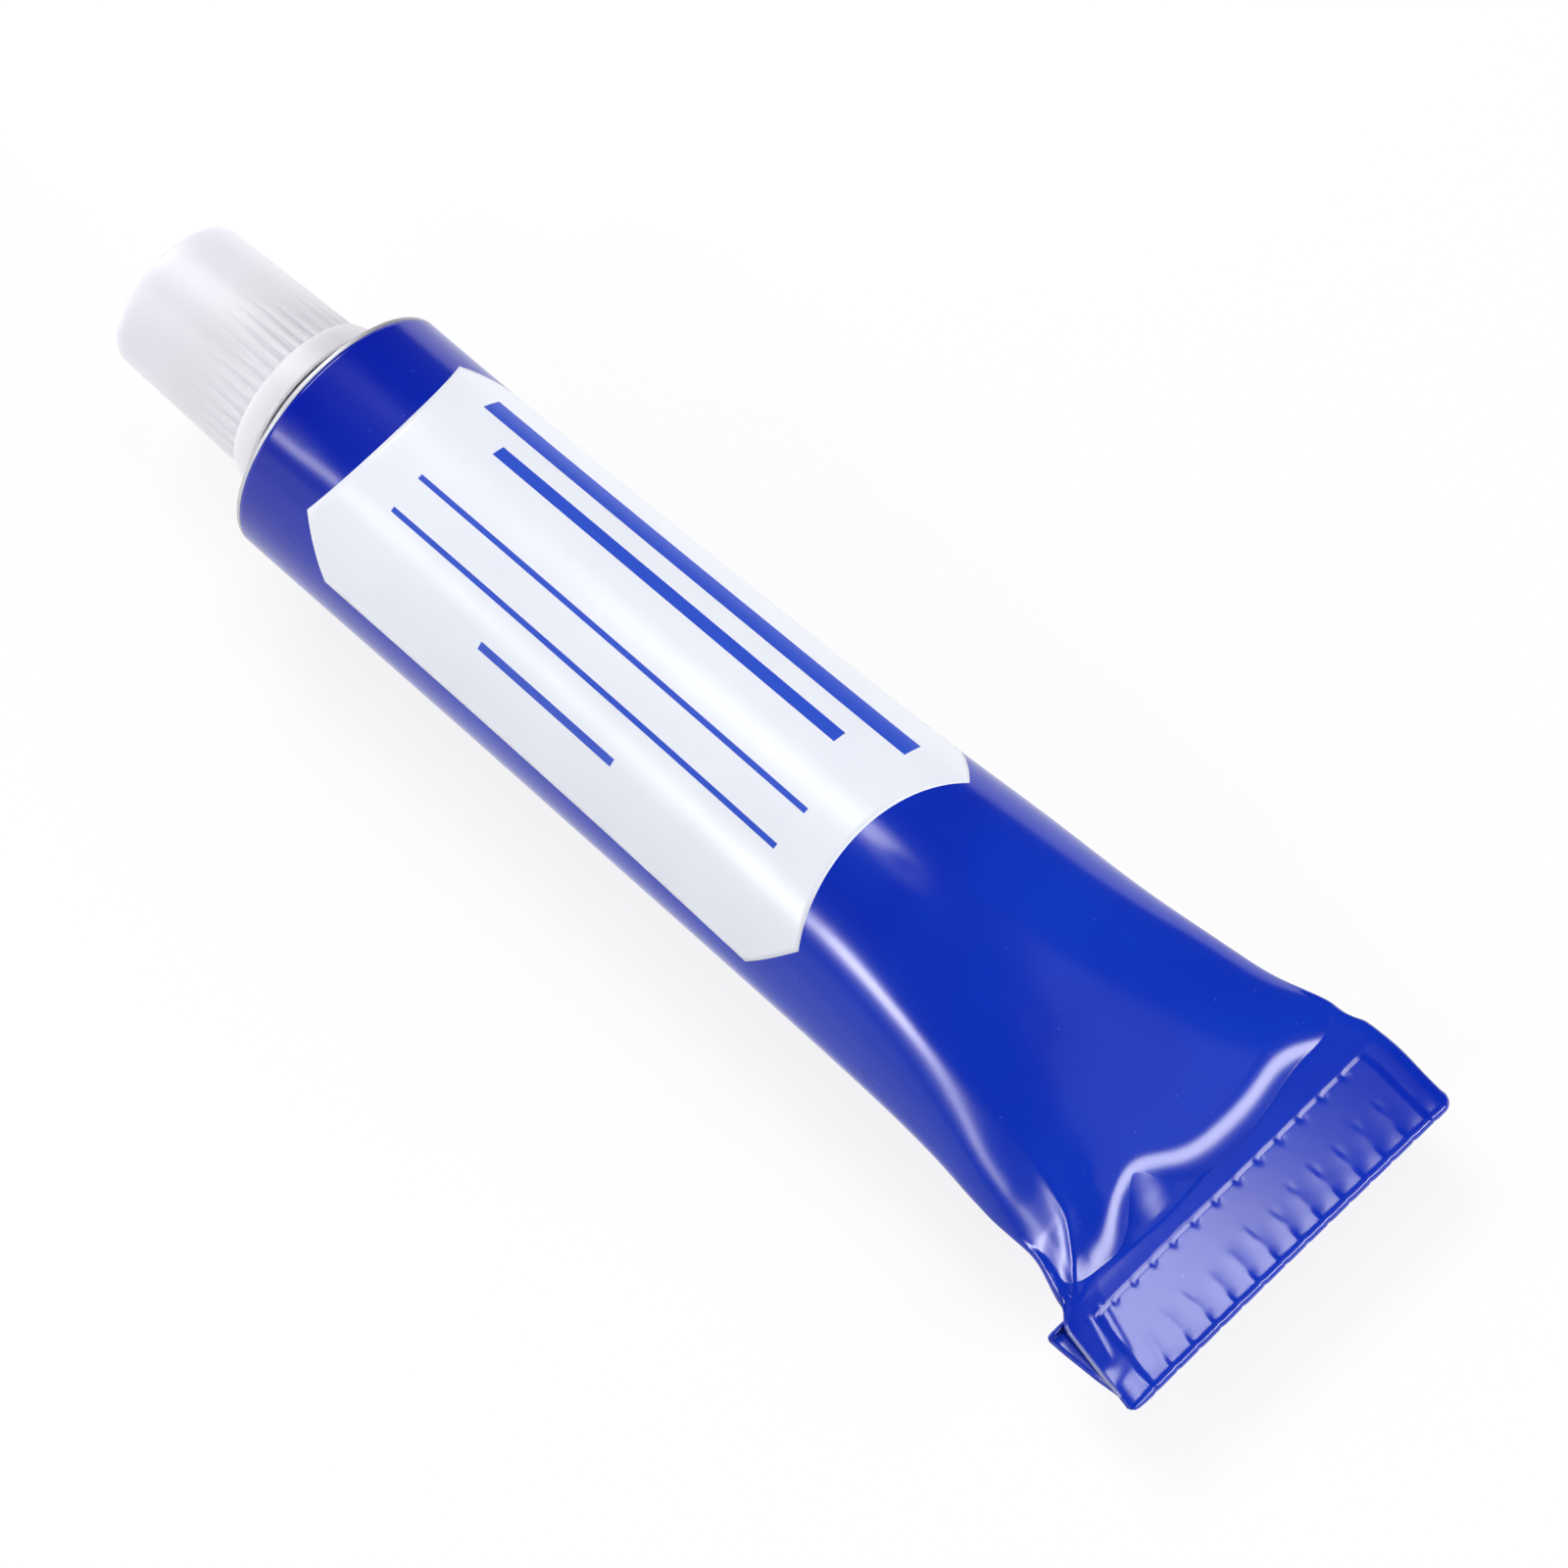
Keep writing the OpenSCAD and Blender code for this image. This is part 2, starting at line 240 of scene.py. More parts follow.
# %% [markdown]
# ## Surfaces from grids
# The real pieces are drawn, turned or moulded, so each is one smooth skin. It could be modelled from
# boxes with modifiers, but the rows of a grid worked out by a formula lie just where the form needs
# them. One function joins a grid with faces, closes it, and turns the faces outwards, which it knows
# from the sign of the enclosed volume.

# %% Grid helpers


def outward(points, faces):
    """The faces, turned round if the volume that they enclose comes out negative."""
    a, b, c, d = (points[faces[:, k]] for k in (0, 1, 2, -1))
    volume = (a * np.cross(b, c)).sum() + (a * np.cross(c, d)).sum()
    return faces[:, ::-1] if volume < 0 else faces


def quads(index):
    """Four-sided faces between the neighbouring rows and columns of a grid of point numbers."""
    return np.stack([index[:-1, :-1], index[1:, :-1], index[1:, 1:], index[:-1, 1:]], -1).reshape(-1, 4)


def new_piece(name, points, faces, smooth_faces):
    """An object made of points in millimetres and of faces, with the number of faces to shade smooth, which
    come first."""
    mesh = bpy.data.meshes.new(name)
    mesh.from_pydata((points * MM).tolist(), [], faces)
    mesh.polygons.foreach_set("use_smooth", np.arange(len(faces)) < smooth_faces)
    mesh.update()
    piece = bpy.data.objects.new(name, mesh)
    scene.collection.objects.link(piece)
    print(f"{name}: {len(points)} points, {len(mesh.loops) - 2 * len(faces)} triangles")
    return piece


def grid_piece(name, points, fanned=True, values=None):
    """A closed piece from rows of rings, in millimetres. Each end row closes in a fan on its middle, unless
    fanned is false: then the last row joins the first. values are numbers kept at the points."""
    rows, columns = points.shape[:2]
    index = np.arange(rows * columns).reshape(rows, columns)
    index = np.hstack([index, index[:, :1]])
    flat = points.reshape(-1, 3)
    fans = np.empty((0, 3), int)
    if not fanned:
        index = np.vstack([index, index[:1]])
    else:
        flat = np.vstack([flat, points[[0, -1]].mean(axis=1)])
        first, last = rows * columns, rows * columns + 1
        start = np.stack([np.full(columns, first), index[0, :-1], index[0, 1:]], -1)
        end = np.stack([np.full(columns, last), index[-1, 1:], index[-1, :-1]], -1)
        fans = np.vstack([start, end])
    faces = quads(index)
    outer = outward(flat, faces)
    if outer is not faces:
        fans = fans[:, ::-1]
    piece = new_piece(name, flat, outer.tolist() + fans.tolist(), len(outer) + len(fans))
    for key, number in (values or {}).items():
        kept = np.zeros(len(flat), np.float32)
        kept[:rows * columns] = np.broadcast_to(number, (rows, columns)).reshape(-1)
        piece.data.attributes.new(key, "FLOAT", "POINT").data.foreach_set("value", kept)
    return piece


# %% Soft steps and bells
TINY = 1e-9


def smooth(start, end, value):
    """0 before start, 1 after end, and a smooth S between them; start may be the larger one."""
    q = np.clip((value - start) / (end - start), 0, 1)
    return q * q * (3 - 2 * q)


def bell(value, centre, width):
    """A bell of height 1 about centre; at one width away it is down to 1/e."""
    return np.exp(-((value - centre) / width) ** 2)


def soft_least(a, b, k):
    """The lesser of a and b, with the bend between them rounded by (k - |a - b|)^2 / 4k where they differ
    by less than k."""
    return np.minimum(a, b) - np.maximum(k - np.abs(a - b), 0) ** 2 / (4 * k + TINY)


# %% [markdown]
# ## The sleeve's section
# The sleeve is one drawn aluminium tube. At the shoulder it is round; at the tail it is pressed flat,
# and since the girth can't change, the flat tail is half the girth wide. It could be lofted between two
# outlines, but a loft knows nothing of the girth. So a half height and a half width are written as
# functions of the distance from the rim.

# %% Sleeve section
WALL, LAYER = 0.15, 0.5
THINNING, BLUNTNESS, CLOSING = 0.3, 20, 1.3
WIDENING = 1.75
TAIL_HEIGHT, CARRY_BLEND = 6.8, 1.0
BELLY_SAG, SAG_RUN = 0.25, 6
CREST, CREST_HEIGHT, TAPER, FRONT_BEND = 88.1, 1.9, 0.55, 6.0


def half_height(s):
    """Half the thickness at s from the rim: a slow loss of THINNING, then a blunt close at the fold."""
    q = np.clip(s / sleeve_len, 0, 1)
    return LAYER / 2 + (tube_r - LAYER / 2) * (1 - THINNING * q ** 2) * (1 - q ** BLUNTNESS) ** CLOSING


def half_width(s):
    """Half the width at s: it grows by 1 - (h / r)^WIDENING as the thickness goes, to keep the girth."""
    return tube_r + (flat_half - tube_r) * (1 - (half_height(s) / tube_r) ** WIDENING)


def carried(h):
    """The larger of h and the tail's height: half of their sum and of the root of their squared difference
    and a squared blend."""
    return (h + TAIL_HEIGHT + np.sqrt((h - TAIL_HEIGHT) ** 2 + CARRY_BLEND ** 2)) / 2


def centre_height(s):
    """Height of the section's middle: the belly lies on the table and the tail is carried."""
    sag = BELLY_SAG * (1 - np.exp(-s / SAG_RUN))
    return carried(half_height(s)) - carried(tube_r) + tube_r - sag


def front_height(s):
    """Height of the front over the section's middle: as on the round body, then a straight slope of TAPER
    down to the crest above the fold, with a long bend between them."""
    on_body = tube_r * (1 - THINNING * np.clip(s / sleeve_len, 0, 1) ** 2)
    on_slope = centre_height(CREST) + CREST_HEIGHT + TAPER * (CREST - s) - centre_height(s)
    return soft_least(on_body, on_slope, FRONT_BEND)


print("height of the fold's front layer:", round(float(centre_height(sleeve_len)), 2))

# %% [markdown]
# ## The folded tail
# Past the sleeve the flat tail runs on, turns under at its end, comes back as a flap and is tucked in
# between. A bent strip could be made with a curve and a bevel, but here the sleeve has to run into it
# without a seam. So its side outline is a path of three straights and two half turns, which the same
# skin follows.

# %% Path of the fold
STEP = (fold_high[2] - fold_low[2] - LAYER) / 2
TURN_R = 0.32
TURN_AT = fold_len - TURN_R - LAYER / 2
FLAP_AT = 0.15
TUCK, TUCK_RISE = 2.5, 0.085
RUNS = np.cumsum([TURN_AT, math.pi * TURN_R, TURN_AT - FLAP_AT, math.pi * STEP / 2, TUCK])


def fold_path(d):
    """Offsets along X and Z and the turn so far, at a distance d along the folded strip. Each straight
    adds its own length and each half turn adds r sin(a) and r (1 - cos(a)). The flap stands off like a
    wedge: it is pressed close at the turn and gapes at its free end."""
    front = np.clip(d, 0, RUNS[0])
    under = np.clip(d - RUNS[0], 0, RUNS[1] - RUNS[0]) / TURN_R
    flap = np.clip(d - RUNS[1], 0, RUNS[2] - RUNS[1])
    tuck_turn = np.clip(d - RUNS[2], 0, RUNS[3] - RUNS[2]) / (STEP / 2)
    tuck = np.clip(d - RUNS[3], 0, TUCK)
    x = front + TURN_R * np.sin(under) - flap - STEP / 2 * np.sin(tuck_turn) + tuck
    gape = 2 * (STEP - TURN_R) * flap / (TURN_AT - FLAP_AT)
    z = -TURN_R * (1 - np.cos(under)) - gape + STEP / 2 * (1 - np.cos(tuck_turn)) + TUCK_RISE * tuck / TUCK
    return x, z, under + tuck_turn


print(f"strip along the fold: {RUNS[-1]:.1f} mm")

# %% [markdown]
# ## Marks of the crimping jaw
# A toothed jaw pressed the fold shut. It left a raised plate, whose upper edge is a row of bright dashes,
# facets between the teeth, and ridges at the near end. A bump in the material would do from afar, but
# these marks catch the light one by one, so they are a rise of the surface itself. Here x is measured
# from the sleeve's end and y from the strip's middle.

# %% Plate and dashes
PLATE_AT, PLATE_RISE, PLATE_END = 1.4, 0.11, 2.3
DASH_RUN, DASH_POWER = 0.4, 1.2
GAP_RUN, GAP_SHARE = 0.5, 0.2
TEETH, FIRST_TOOTH = 15, 0.04


def tooth_number(y):
    """Number of teeth passed from the near end up to y, with a fraction."""
    return (y / flat_half + 1) * TEETH / 2 + FIRST_TOOTH


def tooth_place(y):
    """Where a point lies between two teeth, from 0 just past one to 1 at the next."""
    return np.mod(tooth_number(y), 1)


def plate_rise(x, y):
    """Rise of the plate past its upper edge: on a dash it climbs at once, as 1 - (1 - q)^DASH_POWER, and in
    the short gap between two dashes gently, as 1 - exp(-q^2)."""
    place = tooth_place(y)
    dash = smooth(0, GAP_SHARE, np.minimum(place, 1 - place))
    ahead = np.maximum(x - PLATE_AT, 0)
    gentle = np.exp(-(ahead / GAP_RUN) ** 2)
    steep = np.maximum(1 - ahead / DASH_RUN, 0) ** DASH_POWER
    inside = smooth(0, 0.4, flat_half - PLATE_END - np.abs(y))
    return PLATE_RISE * (1 - gentle + dash * (gentle - steep)) * inside


# %% Teeth and ends of the strip
TOOTH_DEPTH, TICK_DEPTH, FOOT_DEPTH = 0.024, 0.02, 0.05
TOOTH_TOP, TOP_SCATTER = 4.9, 0.35
FAR_DROP, NEAR_DROP = 0.08, 0.09
NEAR_SLANT = 0.2
RIDGES = ((0.05, 3.4, 0.22), (0.04, 2.2, 0.25))
TILT_ALONG, TILT_ACROSS, BOW = 0.03, 0.02, 0.0008
VALLEY_SLOPE, VALLEY_RUN = 0.12, 1.5


def tooth_marks(x, y):
    """Facets between the teeth, which are parabolas that meet in cusps, a short tick where each cusp starts,
    and a hollow at each tooth's foot. The cusps start at slightly different places."""
    place = tooth_place(y)
    top = TOOTH_TOP + TOP_SCATTER * np.sin(1.9 * np.floor(tooth_number(y)))
    left = smooth(6, -6, y)
    facets = TOOTH_DEPTH * (0.5 + 0.5 * left) * (2 * place - 1) ** 2 * smooth(top - 0.5, top + 1, x)
    tick = -TICK_DEPTH * (1 - 0.7 * left) * bell(x, top + 0.4, 0.5) * np.maximum(1 - place / 0.35, 0) ** 2
    hollow = -FOOT_DEPTH * smooth(6.6, 8.0, x) * (1 - smooth(0.1, 0.9, place))
    return (facets + tick + hollow) * smooth(0, 1.5, flat_half - 1 - np.abs(y))


def strip_ends(x, y):
    """The strip beside the plate: it drops at the far edge, slopes down at the near end as far as the middle
    of its length, and has two slanted ridges there, which are bells across their lines."""
    far = -FAR_DROP * smooth(flat_half - 0.9, flat_half - 0.5, y)
    slanted = y + NEAR_SLANT * x + flat_half
    near = -NEAR_DROP * np.maximum(4.2 - slanted, 0) * (1 - smooth(4.5, 6.5, x))
    ridges = sum(rise * bell(slanted, at, width) for rise, at, width in RIDGES)
    return far + near + ridges * smooth(0.9, 1.5, x) * (1 - smooth(3.5, 5.5, x))


def crimp(x, y):
    """Rise of the whole pressed strip: a slight tilt and bow, a slope that falls to the plate's edge, the
    plate, the teeth and the ends."""
    tilt = TILT_ALONG * (x - 3) + TILT_ACROSS * y - BOW * y ** 2
    valley = VALLEY_SLOPE * np.clip(PLATE_AT - x, 0, VALLEY_RUN)
    return tilt + valley + plate_rise(x, y) + tooth_marks(x, y) + strip_ends(x, y)


print("rise at the plate's middle:", round(float(crimp(4.0, 0.0)), 3))

# %% [markdown]
# ## Handling marks
# A soft tube never stays smooth. A crease runs along the near side from the label to the fold's corner,
# small dents lie in the front, and above the fold the front ends in a crest, pushed back by a hollow left
# of its middle. They could be sculpted by hand, but then nobody could move them again. So the crease is a
# tent along a line, dents are bells, and the crest is where the front's slope meets a steeper ramp.
# Distances run from the rim, and places across from -1 on the near side to 1 on the far side.

# %% Dents and the crease
CREASE_S = (57, 63, 66, 70, 79, 82, 85, 87.3, 88.7, sleeve_len)
CREASE_ACROSS = (-0.62, -0.65, -0.67, -0.675, -0.66, -0.685, -0.75, -0.84, -0.91, -0.99)
WIDTH_S, CREASE_WIDTH = (56, 64, 74, 84, sleeve_len), (0.16, 0.13, 0.12, 0.08, 0.06)
RISE_S = (54, 60, 66, 72, 78, 82, 85, 88.5, sleeve_len)
CREASE_RISE = (0, 0.07, 0.16, 0.29, 0.37, 0.43, 0.49, 0.45, 0.3)
SOFT_S, CREASE_SOFT = (60, 68, 76, 84), (0.3, 0.2, 0.12, 0.02)
# Each dent: distance from the rim, place across, length, reach across, rise
DENTS = (
    (85.0, -0.52, 1.8, 0.10, 0.15),
    (68.0, 0.05, 5.0, 0.25, -0.12),
    (63.0, -0.30, 2.2, 0.10, -0.08),
    (60.5, -0.10, 1.8, 0.08, -0.06),
    (74.0, -0.20, 2.5, 0.10, -0.08),
    (2.0, -0.55, 2.2, 0.12, -0.08),
    (4.5, 0.40, 3.0, 0.20, -0.05),
)


def front_marks(s, across):
    """Rise of the front at s and across: a crease, which is a tent exp(-sqrt(q^2 + soft)) with a rounded
    ridge, and dents, which are bells. All fade out at the two sides."""
    crease_at = np.interp(s, CREASE_S, CREASE_ACROSS)
    width = np.interp(s, WIDTH_S, CREASE_WIDTH)
    height = np.interp(s, RISE_S, CREASE_RISE)
    soft = np.interp(s, SOFT_S, CREASE_SOFT)
    rise = height * np.exp(-np.sqrt(((across - crease_at) / width) ** 2 + soft))
    for along, at, length, reach, depth in DENTS:
        rise = rise + depth * bell(s, along, length) * bell(across, at, reach)
    return rise * smooth(0, 0.12, 1 - np.abs(across))


print("dents:", len(DENTS))

# %% Crest, ramp and strip
RAMP_SLOPE, RAMP_BEND = 1.2, 1.3
HOLLOW_AT, HOLLOW_HALF, HOLLOW_PUSH = -0.29, 0.21, 2.05
FAR_AT, FAR_HALF, FAR_PUSH = 0.6, 0.2, 0.9
NEAR_RUN_OUT, FAR_RUN_OUT = 0.9, 0.5
HOLLOW_SLOPE, SLOPE_RUN = 0.63, 3.8
SLOPE_END = sleeve_len + PLATE_AT - VALLEY_RUN
STRIP_FROM, PRESSED = 84, 88
STRIP_POWER = 40


def crest_line(across):
    """Where the crest above the fold lies: pushed back by a hollow left of the middle and by a lesser one on
    the right, and running out into the strip at both sides."""
    pushed = HOLLOW_PUSH * bell(across, HOLLOW_AT, HOLLOW_HALF) + FAR_PUSH * bell(across, FAR_AT, FAR_HALF)
    run_out = np.where(across < 0, NEAR_RUN_OUT, FAR_RUN_OUT)
    return CREST - pushed + run_out * smooth(0.66, 0.98, np.abs(across))


def front_top(along, across, lens):
    """Height of the front over the strip's middle near the fold: the front's own slope and, past the crest,
    a steeper ramp, with a soft bend between them."""
    crest = crest_line(across)
    ramp = front_height(crest) * lens - RAMP_SLOPE * (along - crest)
    front = front_height(np.minimum(along, sleeve_len)) * lens
    return soft_least(front, ramp, RAMP_BEND * (1.5 - 0.5 * lens) * (RAMP_SLOPE - TAPER * lens))


def strip_top(along, across):
    """Height of the flat strip's front, which thins out at its edges. Behind the plate it goes on as a
    slight slope, and in the hollow as a steeper one."""
    edge = np.maximum(1 - np.abs(across) ** STRIP_POWER, 0) ** 0.5
    slope = VALLEY_SLOPE + HOLLOW_SLOPE * bell(across, HOLLOW_AT, HOLLOW_HALF)
    half_layer = LAYER / 2 * smooth(STRIP_FROM, PRESSED, along)
    return edge * (half_layer + slope * np.clip(SLOPE_END - along, 0, SLOPE_RUN))


print("crest at the hollow:", round(float(crest_line(HOLLOW_AT)), 2), "mm from the rim")

# %% [markdown]
# ## One function for the whole wall
# Sleeve, fold, label, latex and glue all lie along the same thin wall. Each could be shaped alone, but
# then they would cut through each other at every dent. So one function gives a point of the wall at a
# distance along the strip and a place round it, moved inwards by an inset.

# %% Section of the wall
ROUND_UNTIL, LENS_FROM = 62, 76
SLACK, SLACK_FROM, SLACK_TO = 0.10, 35, 75
LENS_POWER = 0.32


def place_across(s, round_):
    """Place across at a share round_ of the way round, from the far side over the front: a cosine on the
    round sleeve, which turns into a straight run on the flat tail."""
    straight = 1 - 4 * np.abs(np.mod(round_ + 0.5, 1) - 0.5)
    even = smooth(ROUND_UNTIL, PRESSED, s)
    return (1 - even) * np.cos(2 * np.pi * round_) + even * straight


def section(s, across, flatness):
    """Share of the height over the middle, (1 - |across|^a)^b: an ellipse at a = 2 and b = 1/2, a lens at a
    larger b towards the tail, and a flat strip at a large a where flatness is 1."""
    pressed = smooth(LENS_FROM, PRESSED, s)
    a = 2 + pressed
    b = 0.5 + SLACK * smooth(SLACK_FROM, SLACK_TO, s) + LENS_POWER * pressed
    a = a + (STRIP_POWER - a) * flatness
    b = b + (0.5 - b) * flatness
    return np.maximum(1 - np.abs(across) ** a, 0) ** b


# %% Set of the tail
DRIFT, BACK_DRIFT = 1.9, 0.35
STRIP_SKEW, FLAP_SHIFT = 0.06, 0.15
PULL_BESIDE, PULL_ABOVE, PULL_TUCK = 1.2, 1.0, 2.2
# Each flare of the far side: how far out, where along, and how long
SLEEVE_FLARES = ((0.6, 79, 8), (0.35, 64, 9))
STRIP_FLARES = ((-0.35, sleeve_len - 1.3, 1.3), (0.3, sleeve_len + 3, 3))
EDGE_OUT, EDGE_SLANT = 0.46, 0.015
CORNER_AT, CORNER_CUT = 16.2, 0.5
NOTCH_DEPTH = 0.07


def sideways(along, s, d, across, x, under):
    """Shift of the wall across the tube. The tail drifts to the far side with the square of the distance and
    a little back at the fold; the strip is skewed and its flap shifted; the near side is pulled in beside
    the fold, above it and at the tuck; and the far side flares in bells."""
    drift = DRIFT * (s / sleeve_len) ** 2 - BACK_DRIFT * smooth(84, 89, s)
    drift = drift - STRIP_SKEW * x * (1 - under) - FLAP_SHIFT * under
    beside = PULL_BESIDE * smooth(80, 88, s) * np.clip(1 - d / RUNS[0], 0, 1)
    above = PULL_ABOVE * smooth(77, 86, s) * (1 - smooth(-0.9, 0.6, along - sleeve_len))
    at_tuck = PULL_TUCK * smooth((RUNS[2] + RUNS[3]) / 2, RUNS[3], d)
    flare = sum(out * bell(s, at, run) for out, at, run in SLEEVE_FLARES)
    flare = flare + sum(out * bell(along, at, run) for out, at, run in STRIP_FLARES)
    near, far = smooth(-0.3, -1, across), smooth(0.3, 1, across)
    return drift + near * (beside + above + at_tuck) + far * flare


def lower_edge(d, x, y, turn):
    """How much further out the strip reaches: it was cut a little slanted, with a rounded far corner, and
    each tooth left a notch in its turned edge."""
    cut = EDGE_OUT + EDGE_SLANT * y - CORNER_CUT * np.maximum(y - CORNER_AT, 0) ** 2
    notch = NOTCH_DEPTH * bell(tooth_place(y), 0.04, 0.12) * smooth(7.6, 8.4, x + 0.2 * np.sin(turn))
    return cut * np.minimum(d / RUNS[0], 1) - notch


# %% Tube wall
FOLD_FORM_FROM = 82
FLAP_CURL, CURL_FROM = 0.25, 15.4


def tube_wall(along, round_, inset):
    """A point of the wall. The front's height is the sleeve's own and, near the fold, the larger of the ramp
    and the strip; the back's is half the thickness. Handling marks are added along the section's normal,
    then the fold's path turns the strip under, and the jaw's marks and the flap's curl are added."""
    s = np.minimum(along, sleeve_len)
    d = np.maximum(along - sleeve_len, 0)
    high, wide = half_height(s), half_width(s)
    across = place_across(s, round_)
    in_front = np.mod(round_, 1) < 0.5
    lens, shape = section(s, across, 0), section(s, across, smooth(0, 1.0, d))
    lean_y, lean_z = across * high, shape * wide
    lean = np.sqrt(lean_y ** 2 + lean_z ** 2) + TINY
    marks = front_marks(s, across) * in_front * (1 - smooth(0, 0.5, d))
    near_fold = np.maximum(front_top(along, across, lens), strip_top(along, across))
    top = np.where(s > FOLD_FORM_FROM, near_fold, front_height(s) * shape)
    off = np.where(in_front, top - inset * shape, -(high - inset) * shape) + marks * lean_z / lean
    y = (wide - inset) * across + marks * lean_y / lean
    x, z, turn = fold_path(d)
    under = np.minimum(turn / np.pi, 1)
    press = crimp(x + np.minimum(along - sleeve_len, 0), y) * smooth(-5, -1, along - sleeve_len)
    curl = FLAP_CURL * np.maximum(-y - CURL_FROM, 0) * under
    place_x = rim_x + s + x + lower_edge(d, x, y, turn) + np.sin(turn) * off
    place_y = y + sideways(along, s, d, across, x, under)
    place_z = centre_height(s) + z + np.cos(turn) * off + press + curl
    return np.stack([place_x, place_y, np.maximum(place_z, inset)], -1)


print("front of the body, 30 mm from the rim:", np.round(tube_wall(30.0, 0.25, 0.0), 2))

# %% [markdown]
# ## The tube
# The enamelled metal is one thin wall from the shoulder to the raw end in the tuck. A Solidify modifier
# could thicken a single skin, but it would swell at the sharp fold. So the skin goes out along the
# outside, turns over the raw end and comes back along the inside with fewer rows. Rows lie closer
# together where the form is finer. The first one is short, so that the rim's sharp edge doesn't round the
# shading of the body, and near the fold one row follows the foot of the ramp, where it meets the strip,
# and is marked sharp.

# %% Rows of the skin
ROW_ENDS = (0.25, 56, 80, 85, 88, sleeve_len, *(sleeve_len + np.array([1.2, 2.0, *RUNS])))
ROW_STEPS = (1, 29, 28, 18, 20, 24, 14, 14, 34, 12, 10, 6, 4)
AROUND = 24 * TEETH
FOOT_FROM, FOOT_REACH = 84, 1.4

row_spans = zip((0, *ROW_ENDS[:-1]), ROW_ENDS, ROW_STEPS)
outside = np.concatenate([np.linspace(*ends, n, endpoint=False) for *ends, n in row_spans] + [ROW_ENDS[-1:]])
inside = (outside > 84.9) & (outside < sleeve_len + 2)
inside[1::2] = False
inside[::6] = True

round_ = np.arange(AROUND) / AROUND
front_across = 1 - 4 * np.minimum(round_, 0.5)
search = np.linspace(86, sleeve_len + 1.2, 500)[:, None]
ramp = front_top(search, front_across, section(PRESSED, front_across, 0))
foot_at = search[np.argmin(ramp > strip_top(search, front_across), axis=0), 0]
foot_shift = (foot_at - sleeve_len) * smooth(0.995, 0.96, np.abs(front_across))
towards_foot = (outside - FOOT_FROM) / (sleeve_len - FOOT_FROM)
past_foot = (sleeve_len + FOOT_REACH - outside) / FOOT_REACH
follows = np.clip(np.minimum(towards_foot, past_foot), 0, 1)
out_along = outside[:, None] + follows[:, None] * foot_shift
print(f"{len(outside)} rows outside, {inside.sum()} inside, {AROUND} columns")

# %% Tube skin
CRACK_HALF, CRACK_BARE = 0.15, 0.8
along = np.concatenate([out_along, out_along[inside][::-1]])
inset = np.where(np.arange(len(along)) < len(outside), 0, WALL)[:, None]
skin_points = tube_wall(along, round_[None, :], inset)
to_side = np.minimum(np.mod(round_, 0.5), 0.5 - np.mod(round_, 0.5)) * 2 * np.pi * tube_r
folded = smooth(sleeve_len + 0.2, sleeve_len + 0.8, along) * (along < sleeve_len + RUNS[0] - 1)
cracked = folded * bell(to_side, 0, CRACK_HALF) * (np.abs(round_ - 0.5) < 0.1)
bare = np.maximum(inset > 0, CRACK_BARE * cracked)
tube = grid_piece("enamelled_tube", skin_points, fanned=False, values={"bare_metal": bare})
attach(tube, "tube")
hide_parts("tube_sleeve", "tail_fold")

edge_ends = np.empty(2 * len(tube.data.edges), np.int32)
tube.data.edges.foreach_get("vertices", edge_ends)
edge_row, edge_column = np.divmod(edge_ends.reshape(-1, 2), AROUND)
foot_row = np.argmin(np.abs(outside - sleeve_len))
on_foot = (edge_row == foot_row) & (np.abs(front_across[edge_column]) < 0.95)
tube.data.edges.foreach_set("use_edge_sharp", on_foot.all(axis=1))
print("sharp edges along the foot:", int(on_foot.all(axis=1).sum()))

# %% [markdown]
# ## Printed panel
# The white panel is ink on the enamel, with hollow ends and sloped corners. It could be painted into the
# enamel's material, but it is a piece of its own with its own edge. So it is a sheet on the same wall
# function, just over a hundredth of a millimetre proud, closed with a second sheet under it. Its UV map
# is in millimetres, so that the print can be drawn at its real size.

# %% Label
LABEL_SIDE, LABEL_TIP = 14.0, 9.25
LABEL_CORNER, LABEL_HOLLOW = 3.5, 2.0
LABEL_TURN = 6.0
INK_TOP, INK_UNDER = 0.015, 0.0045
label_start = label_low[0] - rim_x
label_len = label_high[0] - label_low[0]


def label_edge(c):
    """How far the panel's end lies from its tips at c round from its middle line: a hollow parabola
    between the tips and a straight slope past them."""
    hollow = LABEL_HOLLOW * (1 - (c / LABEL_TIP) ** 2)
    slope = LABEL_CORNER * (np.abs(c) - LABEL_TIP) / (LABEL_SIDE - LABEL_TIP)
    return np.where(np.abs(c) <= LABEL_TIP, hollow, slope)


def film_piece(name, upper, lower, uv):
    """A thin closed film from two grids of points, one over the other, with a flat rim between their edges
    and a UV map in millimetres."""
    rows, columns = upper.shape[:2]
    count = rows * columns
    index = np.arange(count).reshape(rows, columns)
    top = quads(index)
    ring = np.concatenate([index[0, :-1], index[:-1, -1], index[-1, :0:-1], index[:0:-1, 0]])
    after = np.roll(ring, -1)
    rim = np.stack([ring, after, after + count, ring + count], -1)
    flat = np.concatenate([upper.reshape(-1, 3), lower.reshape(-1, 3)])
    faces = outward(flat, np.concatenate([top, top[:, ::-1] + count, rim]))
    piece = new_piece(name, flat, faces.tolist(), 2 * len(top))
    layer = piece.data.uv_layers.new(name="millimetres")
    both = np.tile(uv.reshape(-1, 2), (2, 1))
    layer.data.foreach_set("uv", both[faces.reshape(-1)].astype(np.float32).reshape(-1))
    return piece


